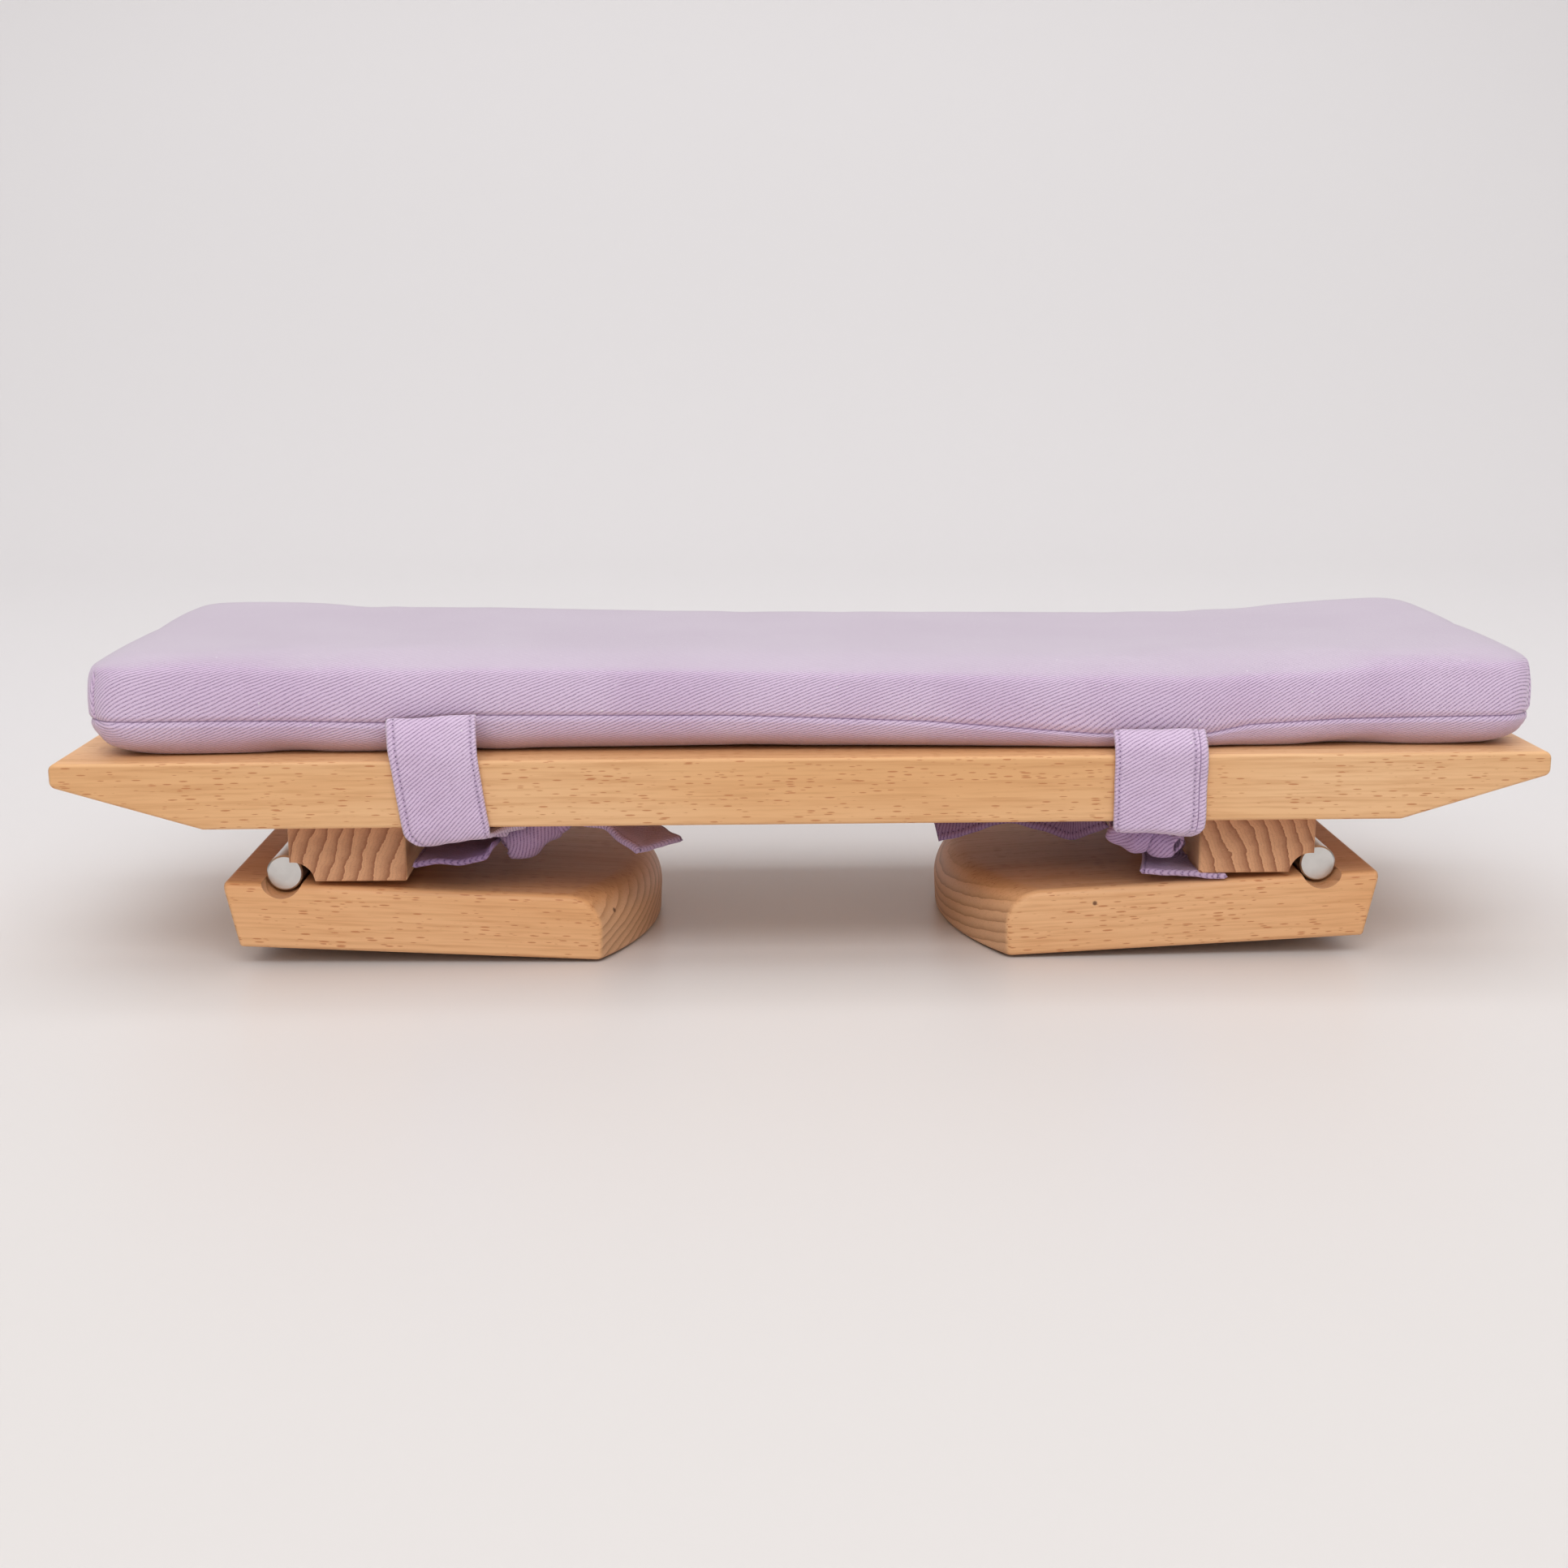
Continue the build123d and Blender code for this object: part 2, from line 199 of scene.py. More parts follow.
def make_stage():
    """A pale sweep: floor, a wide curve and a wall."""
    near, under, start, radius, height, half = -3.0, 0.3, 1.1, 0.9, 3.2, 3.6
    steps = 24
    profile = [(near, 0.0), (under, 0.0), (start, 0.0)]
    for i in range(1, steps + 1):
        angle = math.pi / 2 * i / steps
        profile.append((start + radius * math.sin(angle), radius * (1 - math.cos(angle))))
    profile.append((start + radius, height))
    mesh = bpy.data.meshes.new("sweep")
    points = [(x, y, z) for y, z in profile for x in (-half, half)]
    faces = [(2 * i, 2 * i + 1, 2 * i + 3, 2 * i + 2) for i in range(len(profile) - 1)]
    mesh.from_pydata(points, [], faces)
    mesh.polygons.foreach_set("use_smooth", [True] * len(faces))
    sweep = bpy.data.objects.new("sweep", mesh)
    bpy.context.scene.collection.objects.link(sweep)
    look = Look("sweep", Roughness=0.38, Specular_IOR_Level=0.4)
    depth = look.smooth(look.split(look.place())[1], -0.35, 0.5)
    look.colour(look.mix(depth, colour(221, 217, 215), colour(224, 221, 222)))
    mesh.materials.append(look.material)


def make_light():
    scene = bpy.context.scene
    scene.view_settings.view_transform = "Standard"
    scene.view_settings.look = "None"
    world = bpy.data.worlds.new("studio")
    scene.world = world
    world.use_nodes = True
    tree = world.node_tree
    background = tree.nodes["Background"]
    background.inputs["Color"].default_value = (1.0, 0.985, 0.975, 1)
    split = tree.nodes.new("ShaderNodeSeparateXYZ")
    tree.links.new(tree.nodes.new("ShaderNodeTexCoord").outputs["Generated"], split.inputs[0])
    _, towards, up = split.outputs

    def ramp(socket, low, high, at_low, at_high):
        node = tree.nodes.new("ShaderNodeMapRange")
        node.interpolation_type = "SMOOTHSTEP"
        settings = {"From Min": low, "From Max": high, "To Min": at_low, "To Max": at_high}
        for name, value in settings.items():
            node.inputs[name].default_value = value
        tree.links.new(socket, node.inputs["Value"])
        return node.outputs[0]

    def joined(operation, a, b):
        node = tree.nodes.new("ShaderNodeMath")
        node.operation = operation
        tree.links.new(a, node.inputs[0])
        tree.links.new(b, node.inputs[1])
        return node.outputs[0]

    # a bright ceiling, dim sides, and a bright front that fades out near the horizon
    ceiling = ramp(up, 0.40, 0.90, 0.22, 0.80)
    front = ramp(towards, -0.95, -0.35, -0.90, 0.0)
    above_horizon = ramp(up, 0.12, 0.42, 0.08, 1.0)
    strength = joined("SUBTRACT", ceiling, joined("MULTIPLY", front, above_horizon))
    tree.links.new(strength, background.inputs["Strength"])
    area_light("overhead", at=(0, 0.10, 1.9), aim=(0, 0, 0), size=(2.4, 1.6), watts=10.6)
    area_light("front", at=(0, -1.45, 1.8), aim=(0, 0, 0), size=(2.4, 0.8), watts=16.2)
    area_light("backdrop", at=(0, 0.9, 2.2), aim=(0, 2.0, 0.6), size=(3.4, 0.6), watts=8.2)


# ---------------------------------------------------------------- wood and metal

# Colours of oiled beech, and sizes of its figure in metres.
BEECH_LIGHT = colour(240, 194, 146)
BEECH_MID = colour(230, 176, 122)
BEECH_DARK = colour(196, 136, 84)
FLECK_LENGTH, FLECK_WIDTH = 0.0054, 0.00078
FLECK_LEAN = 0.02


def beech(name, pith, ring, tilt=0.0, wander=0.012, shift=(0, 0, 0), tone=(1, 1, 1),
          wide_shade_tone=(1, 1, 1), knots=()):
    """Oiled beech with its grain along X, turned about Y by tilt. pith is where the growth
    rings are centred, as (y, z), ring is their spacing and wander how far they stray, all in
    metres. wide_shade_tone darkens the faces that look up or down: painted shade for the shade
    under the seat, partly a quieter colour of their own. knots are (place, radius)."""
    look = Look(name, Roughness=0.47, Specular_IOR_Level=0.42)
    grain = look.turned(look.place(), rotation=(0, tilt, 0), shift=shift)
    _, across, up = look.split(grain)

    # growth rings, as slow wavy shells about the pith
    slow = look.noise(look.turned(grain, scale=(3, 14, 14)), detail=2)
    fine = look.noise(look.turned(grain, scale=(14, 190, 190)), detail=2)
    radius = look.length(look.minus(across, pith[0]), look.minus(up, pith[1]))
    radius = look.plus(radius, look.times(slow, wander))
    radius = look.plus(radius, look.times(fine, 0.0011))
    turn = look.math("FRACT", look.over(radius, ring))
    late = look.math("POWER", turn, 2.6)
    late = look.times(late, look.minus(1.0, look.smooth(turn, 0.93, 1.0)))

    # fine fibres and slow patches of tone
    fibre = look.noise(look.turned(grain, scale=(38, 900, 900)), detail=3, rough=0.6)
    patch = look.noise(look.turned(grain, scale=(5, 24, 24)), detail=2)

    # ray flecks: short brown dashes along the grain
    sway = look.join(0.0, 0.0, look.times(fine, 0.0012))
    bent = look.add("VectorMath", {0: grain, 1: sway}, operation="ADD").outputs[0]
    cells = look.turned(bent, scale=(1 / FLECK_LENGTH, 1 / FLECK_WIDTH, 1 / FLECK_WIDTH),
                        rotation=(0, FLECK_LEAN, 0))
    crowd = look.noise(look.turned(grain, scale=(24, 90, 90)), detail=1)
    dots = look.add("TexVoronoi", {"Vector": cells, "Scale": 1.0, "Randomness": 1.0})
    limit = look.plus(0.10, look.times(look.split(dots.outputs["Color"])[0], 0.30))
    limit = look.times(limit, look.smooth(crowd, 0.15, 0.50))
    fleck = look.smooth(look.minus(limit, dots.outputs["Distance"]), 0.0, 0.13)

    side = look.mix(look.smooth(patch, 0.3, 0.7), BEECH_LIGHT, BEECH_MID)
    side = look.mix(look.times(late, 0.24), side, BEECH_DARK)
    side = look.mix(look.times(look.smooth(fibre, 0.42, 0.75), 0.42), side, BEECH_DARK)
    side = look.mix(look.times(fleck, 0.78), side, colour(190, 120, 72))

    # end grain: darker, with the rings drawn more clearly and small pores
    pore = look.noise(look.turned(grain, scale=(60, 2600, 2600)), detail=2, rough=0.7)
    end = look.mix(look.times(late, 0.85), colour(226, 184, 144), colour(162, 114, 78))
    end = look.mix(look.times(look.smooth(pore, 0.5, 0.72), 0.30), end, colour(146, 96, 62))
    base = look.mix(look.smooth(look.facing(0), 0.42, 0.9), side, end)
    for spot, size in knots:
        offset = look.add("VectorMath", {0: look.place(), 1: spot}, operation="DISTANCE")
        mark = look.minus(1.0, look.smooth(offset.outputs["Value"], size * 0.4, size))
        base = look.mix(look.times(mark, 0.85), base, colour(88, 48, 26))
    base = look.tinted(base, tone)
    # painted shade: faces that look up or down take wide_shade_tone, partly their own quieter colour
    look.colour(look.mix(look.smooth(look.facing(2), 0.72, 0.98), base, look.tinted(base, wide_shade_tone)))
    look.roughness(look.plus(0.42, look.times(fibre, 0.16)))
    look.bump(look.minus(look.times(fibre, 0.5), look.times(fleck, 0.12)), 0.00012)
    return look.material


def end_grain(name, lean, curve, shift=(0, 0, 0)):
    """Beech whose grain runs along Y, so its front end shows wavy upright rings that lean by
    lean (run for one of rise) and bend by curve."""
    ring, streak_gap = 0.0051, 0.00128
    look = Look(name, Roughness=0.5, Specular_IOR_Level=0.38)
    grain = look.turned(look.place(), shift=shift)
    along, _, up = look.split(grain)
    flat = look.turned(grain, scale=(1, 0.05, 1))
    slow = look.noise(look.turned(flat, scale=(38, 38, 30)), detail=2)
    wave = look.noise(look.turned(flat, scale=(210, 210, 260)), detail=3, rough=0.55)
    cleat_low, cleat_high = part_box("cleat_left")
    up = look.minus(up, (cleat_low.z + cleat_high.z) / 2)
    bend = look.times(look.times(up, up), curve)
    p = look.minus(look.minus(along, look.times(up, lean)), bend)
    p = look.plus(p, look.times(slow, 0.0085))
    p = look.plus(p, look.times(wave, 0.0030))
    turn = look.math("FRACT", look.over(p, ring))
    late = look.math("POWER", turn, 1.7)
    late = look.times(late, look.minus(1.0, look.smooth(turn, 0.95, 1.0)))
    streak = look.math("FRACT", look.over(p, streak_gap))
    pore = look.noise(look.turned(grain, scale=(2600, 80, 2600)), detail=2, rough=0.7)
    ray = look.noise(look.turned(grain, scale=(500, 60, 3800)), detail=1)
    fibre = look.noise(look.turned(grain, scale=(900, 40, 900)), detail=3)
    end = look.mix(late, colour(222, 166, 124), colour(150, 92, 60))
    end = look.mix(look.times(look.smooth(streak, 0.55, 0.95), 0.16), end, colour(140, 90, 58))
    end = look.mix(look.times(look.smooth(pore, 0.5, 0.75), 0.28), end, colour(130, 84, 56))
    end = look.mix(look.times(look.smooth(ray, 0.55, 0.8), 0.14), end, colour(224, 180, 140))
    side = look.mix(look.times(late, 0.45), colour(228, 178, 132), colour(190, 134, 92))
    side = look.mix(look.times(look.smooth(fibre, 0.45, 0.75), 0.35), side, colour(180, 124, 82))
    look.colour(look.mix(look.smooth(look.facing(1), 0.4, 0.9), side, end))
    look.bump(look.plus(pore, look.times(late, -0.8)), 0.00012)
    return look.material


def brushed(name, axis_at=None, tone=(0.74, 0.73, 0.71, 1), rough=0.3):
    """Brushed steel. axis_at is the (x, z) of a rod along Y, whose ends are turned in circles."""
    look = Look(name, Metallic=1.0, Roughness=rough, Base_Color=tone)
    here = look.place()
    streaks = look.noise(look.turned(here, scale=(900, 2600, 900)), detail=2)
    if axis_at is not None:
        x, _, z = look.split(here)
        radius = look.length(look.minus(x, axis_at[0]), look.minus(z, axis_at[1]))
        circles = look.noise(look.join(look.times(radius, 5200), 0.0, 0.0), detail=3)
        on_end = look.smooth(look.facing(1), 0.5, 0.9)
        streaks = look.plus(look.times(streaks, look.minus(1.0, on_end)), look.times(circles, on_end))
    patch = look.noise(here, scale=260, detail=2)
    duller = tuple(v * 0.93 for v in tone[:3]) + (1,)
    look.colour(look.mix(look.smooth(patch, 0.3, 0.7), tone, duller))
    look.roughness(look.plus(rough - 0.06, look.times(streaks, 0.16)))
    look.bump(streaks, 0.00002)
    return look.material


def foam_look():
    look = Look("foam", Roughness=0.95)
    here = look.place()
    cell = look.add("TexVoronoi", {"Vector": here, "Scale": 900.0}).outputs["Distance"]
    look.colour(look.mix(cell, colour(226, 220, 200), colour(246, 242, 228)))
    look.bump(cell, 0.0004)
    return look.material


# ---------------------------------------------------------------- lavender twill

# Colours of the cloth, the spacing of its stitches in millimetres and of its yarn's turns in
# metres.
CLOTH_LIGHT = colour(224, 200, 228)
CLOTH_MID = colour(215, 188, 219)
CLOTH_DARK = colour(134, 100, 148)
CLOTH_FUZZ = colour(243, 230, 245)
# painted sheen: the paler grey that faces looking up are mixed towards
CLOTH_TOP_SHEEN = colour(192, 185, 193)
CLOTH_LINT = colour(240, 236, 240)
CLOTH_GAP = colour(120, 88, 132)
SEWN_LINE = colour(122, 88, 132)
NEEDLE_HOLE = colour(96, 68, 110)
STITCH = 1.9
YARN_TURN = 0.00062


def twill(name, angle=26.0, pitch=1.5, stitch_lines=(), edge_lines=(), tone=(1, 1, 1), sheen=0.55,
          seamed=False, top_sheen_share=0.12):
    """Cotton twill drawn from the piece's own "weave" layer, which is in metres. The ribs rise
    at angle degrees and are pitch millimetres apart. stitch_lines are the u of rows of needle
    holes along v, and edge_lines the u of the gaps between two layers, in millimetres. A seamed
    piece also has a "seam_gap" layer: how far each point is from a sewn line. top_sheen_share
    is how much painted sheen shows where the cloth faces up: a paler, greyer colour and softer
    ribs that stand for the sheen on the top. tone multiplies the colour, as painted shade for
    pieces that lie in shade."""
    look = Look(name, Roughness=0.92, Specular_IOR_Level=0.18, Sheen_Weight=sheen,
                Sheen_Roughness=0.4)
    look.shader.inputs["Sheen Tint"].default_value = colour(240, 244, 238)
    weave = look.add("UVMap", uv_map="weave").outputs[0]
    wander = look.noise(look.turned(weave, scale=(70, 70, 70)), detail=2)
    small = look.noise(look.turned(weave, scale=(700, 700, 700)), detail=2)
    u, v, _ = look.split(weave)

    # ribs, each a row of twisted yarn turns
    c, s = math.cos(math.radians(angle)), math.sin(math.radians(angle))
    p = look.minus(look.times(v, c), look.times(u, s))
    p = look.plus(p, look.times(wander, 0.0013))
    p = look.over(look.plus(p, look.times(small, 0.00022)), pitch * MM)
    q = look.over(look.plus(look.times(u, c), look.times(v, s)), YARN_TURN)
    groove = look.smooth(look.size(look.minus(look.math("FRACT", p), 0.5)), 0.17, 0.49)
    row = look.times(look.math("FLOOR", p), 0.37)
    dot = look.size(look.minus(look.math("FRACT", look.plus(q, row)), 0.5))
    dot = look.smooth(dot, 0.10, 0.42)
    depth = look.times(groove, look.plus(0.44, look.times(dot, 0.56)))

    # painted sheen: where the cloth faces up its ribs are softer and its colour paler and greyer,
    # standing for the sheen on the top
    top_sheen = look.smooth(look.split(look.place("Normal"))[2], 0.55, 0.97)
    top_sheen = look.times(top_sheen, top_sheen_share)
    depth = look.times(depth, look.minus(1.0, look.times(top_sheen, 0.62)))
    fuzz = look.noise(look.turned(weave, scale=(2600, 2600, 2600)), detail=3, rough=0.75)
    patch = look.noise(look.place(), scale=26, detail=3)
    worn = look.noise(look.turned(weave, scale=(1500, 1500, 1500)), detail=2, rough=0.6)
    worn = look.times(look.smooth(worn, 0.36, 0.62), 0.5)
    depth = look.times(depth, look.plus(0.5, worn))

    base = look.mix(look.smooth(patch, 0.3, 0.7), CLOTH_LIGHT, CLOTH_MID)
    base = look.mix(look.times(look.smooth(fuzz, 0.35, 0.7), 0.34), base, CLOTH_FUZZ)
    # painted sheen on the faces that look up
    base = look.mix(look.times(top_sheen, 0.6), base, CLOTH_TOP_SHEEN)
    base = look.mix(look.times(depth, 0.84), base, CLOTH_DARK)

    # a little white lint
    lint = look.add("TexVoronoi", {"Vector": look.turned(weave, scale=(330, 330, 330)), "Scale": 1.0})
    chosen = look.smooth(look.split(lint.outputs["Color"])[1], 0.955, 0.965)
    speck = look.minus(1.0, look.smooth(lint.outputs["Distance"], 0.05, 0.16))
    base = look.mix(look.times(look.times(speck, chosen), 0.6), base, CLOTH_LINT)

    height = look.minus(look.times(fuzz, 0.3), depth)
    for line in stitch_lines:
        off = look.size(look.minus(u, line * MM))
        beat = look.minus(look.math("FRACT", look.over(v, STITCH * MM)), 0.5)
        beat = look.times(look.size(beat), STITCH * MM)
        hole = look.minus(1.0, look.smooth(look.length(off, beat), 0.00010, 0.00032))
        dip = look.minus(1.0, look.smooth(off, 0.0002, 0.0008))
        base = look.mix(look.times(dip, 0.16), base, CLOTH_DARK)
        base = look.mix(look.times(hole, 0.85), base, NEEDLE_HOLE)
        height = look.minus(height, look.plus(hole, look.times(dip, 0.5)))
    if seamed:
        gap = look.add("Attribute", attribute_name="seam_gap").outputs["Fac"]
        gap = look.plus(gap, look.times(small, 0.00012))
        seam = look.minus(1.0, look.smooth(gap, 0.00010, 0.00042))
        base = look.mix(look.times(seam, 0.62), base, SEWN_LINE)
    for line in edge_lines:
        off = look.size(look.minus(u, line * MM))
        gap = look.minus(1.0, look.smooth(off, 0.00008, 0.0003))
        base = look.mix(look.times(gap, 0.75), base, CLOTH_GAP)
    # painted shade: tone darkens the cloth of pieces that lie in shade under the seat
    look.colour(look.tinted(base, tone))
    look.bump(height, 0.00022)
    return look.material


# ---------------------------------------------------------------- mesh helpers

def new_object(name, mesh, material=None):
    piece = bpy.data.objects.new(name, mesh)
    bpy.context.scene.collection.objects.link(piece)
    if material is not None:
        mesh.materials.append(material)
    mesh.polygons.foreach_set("use_smooth", [True] * len(mesh.polygons))
    return piece


def coords(mesh):
    flat = np.empty(len(mesh.vertices) * 3)
    mesh.vertices.foreach_get("co", flat)
    return flat.reshape(-1, 3)


def set_coords(mesh, points):
    mesh.vertices.foreach_set("co", np.asarray(points).reshape(-1))
    mesh.update()


def final_mesh(piece):
    """The mesh with its modifiers applied, and the modifiers gone."""
    graph = bpy.context.evaluated_depsgraph_get()
    made = bpy.data.meshes.new_from_object(piece.evaluated_get(graph))
    piece.modifiers.clear()
    piece.data = made
    return made


def ease(value, low, high):
    t = np.clip((np.asarray(value, float) - low) / (high - low), 0, 1)
    return t * t * (3 - 2 * t)


def curve_through(points, count):
    """Evenly spaced points on a smooth line through the given ones."""
    pts = np.asarray(points, float)
    ends = np.vstack([2 * pts[0] - pts[1], pts, 2 * pts[-1] - pts[-2]])
    dense = []
    for i in range(len(pts) - 1):
        a, b, c, d = ends[i:i + 4]
        for t in np.linspace(0, 1, 24, endpoint=False):
            dense.append(0.5 * (2 * b + (c - a) * t + (2 * a - 5 * b + 4 * c - d) * t ** 2
                                + (3 * b - a - 3 * c + d) * t ** 3))
    dense.append(pts[-1])
    dense = np.array(dense)
    run = np.concatenate([[0], np.cumsum(np.linalg.norm(np.diff(dense, axis=0), axis=1))])
    at = np.linspace(0, run[-1], count)
    return np.stack([np.interp(at, run, dense[:, k]) for k in range(3)], axis=1), run[-1]


def rounded(distance, thick):
    """The share of its full thickness that a rounded rim has at a distance from its edge."""
    return np.sqrt(np.clip(1 - (1 - np.clip(distance / (thick * 0.55), 0, 1)) ** 2, 0.0, 1))


def ribbon(name, left, right, material, thick=1.6, rows=60, cols=26, ripple=0.0, ripples=3.0,
           seed=0.0, crease=None, ease_ripple=(0.0, 1.0), grooves=(), wrinkle=0.0):
    """A strip of folded cloth between two edge lines, in millimetres, with rounded edges and a
    weave layer in metres. ripple is how deep its lengthwise pleats are at the far end, and
    wrinkle how deep its small random dents are. grooves are (how far across in millimetres,
    depth) of the lines where it is stitched or where two layers part, and crease(t, s) lifts
    the strip at t along and s across, both 0 to 1."""
    groove_half, least_step = 0.7, 0.25
    a, length_a = curve_through(left, rows)
    b, length_b = curve_through(right, rows)
    length = (length_a + length_b) / 2
    t = np.linspace(0, 1, rows)[:, None]
    width = float(np.linalg.norm(b - a, axis=1).max())
    # columns crowd towards the two edges, where the section turns
    s = 0.5 - 0.5 * np.cos(np.linspace(0, math.pi, cols))
    s = 0.35 * s + 0.65 * np.linspace(0, 1, cols)
    steps = (-groove_half, -groove_half / 2, 0, groove_half / 2, groove_half)
    extra = [(at + step) / width for at, _ in grooves for step in steps]
    kept = [v for v in s if all(abs(v - e) * width > least_step for e in extra)]
    s = np.array(sorted(kept + extra))
    cols = len(s)
    mid = a[:, None, :] * (1 - s[None, :, None]) + b[:, None, :] * s[None, :, None]
    normal = np.cross(np.gradient(mid, axis=0), np.gradient(mid, axis=1))
    normal /= np.maximum(np.linalg.norm(normal, axis=2, keepdims=True), 1e-9)
    if ripple:
        turn = 2 * math.pi * ripples * s[None, :]
        pleat = np.sin(turn + seed + 0.8 * np.sin(4 * t))
        pleat = pleat + 0.25 * np.sin(turn * 1.7 + 2.1 * seed + 3 * t)
        mid = mid + normal * (ripple * ease(t, *ease_ripple) * pleat)[:, :, None]
    if crease is not None:
        mid = mid + normal * crease(t, s[None, :])[:, :, None]
    if wrinkle:
        start = Vector((seed, 3.1 * seed, 0))
        dent = [[noise.noise(Vector(point) * 0.16 + start) for point in row] for row in mid]
        mid = mid + normal * (wrinkle * np.array(dent))[:, :, None]
    across = np.linalg.norm(b - a, axis=1)[:, None] * s[None, :]
    close = rounded(np.minimum(t, 1 - t) * length, thick)
    half = thick / 2 * rounded(np.minimum(across, across[:, ::-1]), thick) * close
    dip = np.zeros_like(s)
    for at, deep in grooves:
        dip += deep * np.clip(1 - np.abs(s * width - at) / groove_half, 0, 1) ** 1.3
    front = mid + normal * np.maximum(half - dip[None, :] * close, half * 0.15)[:, :, None]
    back = mid - normal * half[:, :, None]

    # the front and back share the rim's points
    points = [tuple(front[i, j] * MM) for i in range(rows) for j in range(cols)]
    back_index = {}
    for i in range(1, rows - 1):
        for j in range(1, cols - 1):
            back_index[(i, j)] = len(points)
            points.append(tuple(back[i, j] * MM))
    faces, weave = [], []
    for i in range(rows - 1):
        for j in range(cols - 1):
            quad = ((i, j), (i, j + 1), (i + 1, j + 1), (i + 1, j))
            uv = [(s[q] * width * MM, -length * k / (rows - 1) * MM) for k, q in quad]
            faces.append([k * cols + q for k, q in quad][::-1])
            weave.append(uv[::-1])
            faces.append([back_index.get((k, q), k * cols + q) for k, q in quad])
            weave.append(uv)
    mesh = bpy.data.meshes.new(name)
    mesh.from_pydata(points, [], faces)
    layer = mesh.uv_layers.new(name="weave")
    layer.data.foreach_set("uv", [c for uv in weave for pair in uv for c in pair])
    mesh.update()
    piece = new_object(name, mesh, material)
    piece["strip_length"] = length * MM
    return piece


# ---------------------------------------------------------------- cushion

# How the cushion differs from a plain pad, in millimetres, as (x, amount): the front seam's
# height, the top's height at its front and back edges, and how far the front draws in at its foot.
SEAM_LINE = [(-250, 0.9), (-221, 0.7), (-170, 0.2), (-136, -0.6), (-106, 1.5), (-24, 0.8), (40, -1.4),
             (95, -5.3), (131, -5.7), (145, -3.1), (175, -1.6), (235, -0.5), (250, -0.3)]
FRONT_FOLD = [(-250, 1.2), (-181, 1.0), (-129, 0.6), (-24, -1.2), (82, -3.1), (135, -2.9),
              (188, -1.3), (250, 1.0)]
BACK_FOLD = [(-250, 2.4), (-223, 2.2), (-149, 0.7), (-87, -1.0), (-24, -2.1), (7, -2.3), (101, -3.6),
             (164, -2.8), (196, -1.1), (236, 1.7), (250, 2.2)]
TUCK = [(-250, 9.0), (-222, 7.0), (-184, 3.0), (-138, 1.4), (-78, 5.0), (3, 5.0), (102, 3.0),
        (136, 0.0), (191, 4.5), (241, 13.0), (250, 14.0)]

# Sewn corners: which corner, and the angle from the end face that the seam sits at.
DARTS = ((-1, -1, 44), (1, -1, 38), (-1, 1, 40), (1, 1, 40))
# In metres: the pad's corner radius in plan, how fine its mesh is, how far it may swell, and how
# far out from a corner's centre its seam starts.
CORNER, VOXEL, SWELL_CAP, DART_REACH = 0.016, 0.005, 0.0042, 0.006
SWELL_STEPS = 20
# In millimetres: half the width and the depth of the grooves, the radii of the upper and lower
# edges, how much the board presses flat, and how far the top stands up.
SEAM_HALF, SEAM_DEPTH = 1.5, 1.0
DART_HALF, DART_DEPTH = 1.3, 1.2
TOP_EDGE, LOW_EDGE = 11.0, 10.0
PRESSED_FLAT, TOP_LIFT = 1.9, 1.3


def swell(piece):
    """A short cloth run that rounds the pad out under a little pressure, capped."""
    start = coords(piece.data).copy()
    cloth = piece.modifiers.new("Cloth", "CLOTH")
    cloth.settings.quality = 6
    cloth.settings.use_pressure = True
    cloth.settings.uniform_pressure_force = 4
    cloth.settings.effector_weights.gravity = 0
    scene = bpy.context.scene
    for step in range(1, SWELL_STEPS + 1):
        scene.frame_set(step)
    made = final_mesh(piece)
    move = coords(made) - start
    far = np.linalg.norm(move, axis=1, keepdims=True)
    set_coords(made, start + move * np.minimum(1, SWELL_CAP / np.maximum(far, 1e-9)))
    scene.frame_set(1)


def dart_ray(sx, sy, angle):
    """The centre of a corner's rounding, and the direction in which its seam lies."""
    middle, half = (PAD_LOW + PAD_HIGH) / 2, (PAD_HIGH - PAD_LOW) / 2
    centre = Vector((middle.x + sx * (half.x - CORNER), middle.y + sy * (half.y - CORNER), SEAM_Z))
    turn = math.radians(angle)
    return centre, Vector((sx * math.cos(turn), sy * math.sin(turn), 0))


def rounding(height, radius):
    """How far a quarter-round edge is set back at a height above its outermost line."""
    rest = np.clip(radius - height, 0, radius)
    return radius - np.sqrt(radius ** 2 - rest ** 2)


def cushion_pad():
    """The filling's shape, remeshed and swollen, at the cover's full length and depth."""
    piece = bpy.data.objects.new("cushion", NODES["cushion_foam"].data.copy())
    bpy.context.scene.collection.objects.link(piece)
    piece.data.materials.clear()
    remesh = piece.modifiers.new("Remesh", "REMESH")
    remesh.mode = "VOXEL"
    remesh.voxel_size = VOXEL
    final_mesh(piece)
    swell(piece)
    smooth = piece.modifiers.new("Subdivision", "SUBSURF")
    smooth.levels = smooth.render_levels = 1
    mesh = final_mesh(piece)
    points = coords(mesh)
    low, high = points.min(axis=0), points.max(axis=0)
    share = (points - low) / (high - low)
    set_coords(mesh, np.array(PAD_LOW) + share * np.array(PAD_HIGH - PAD_LOW))
    return piece


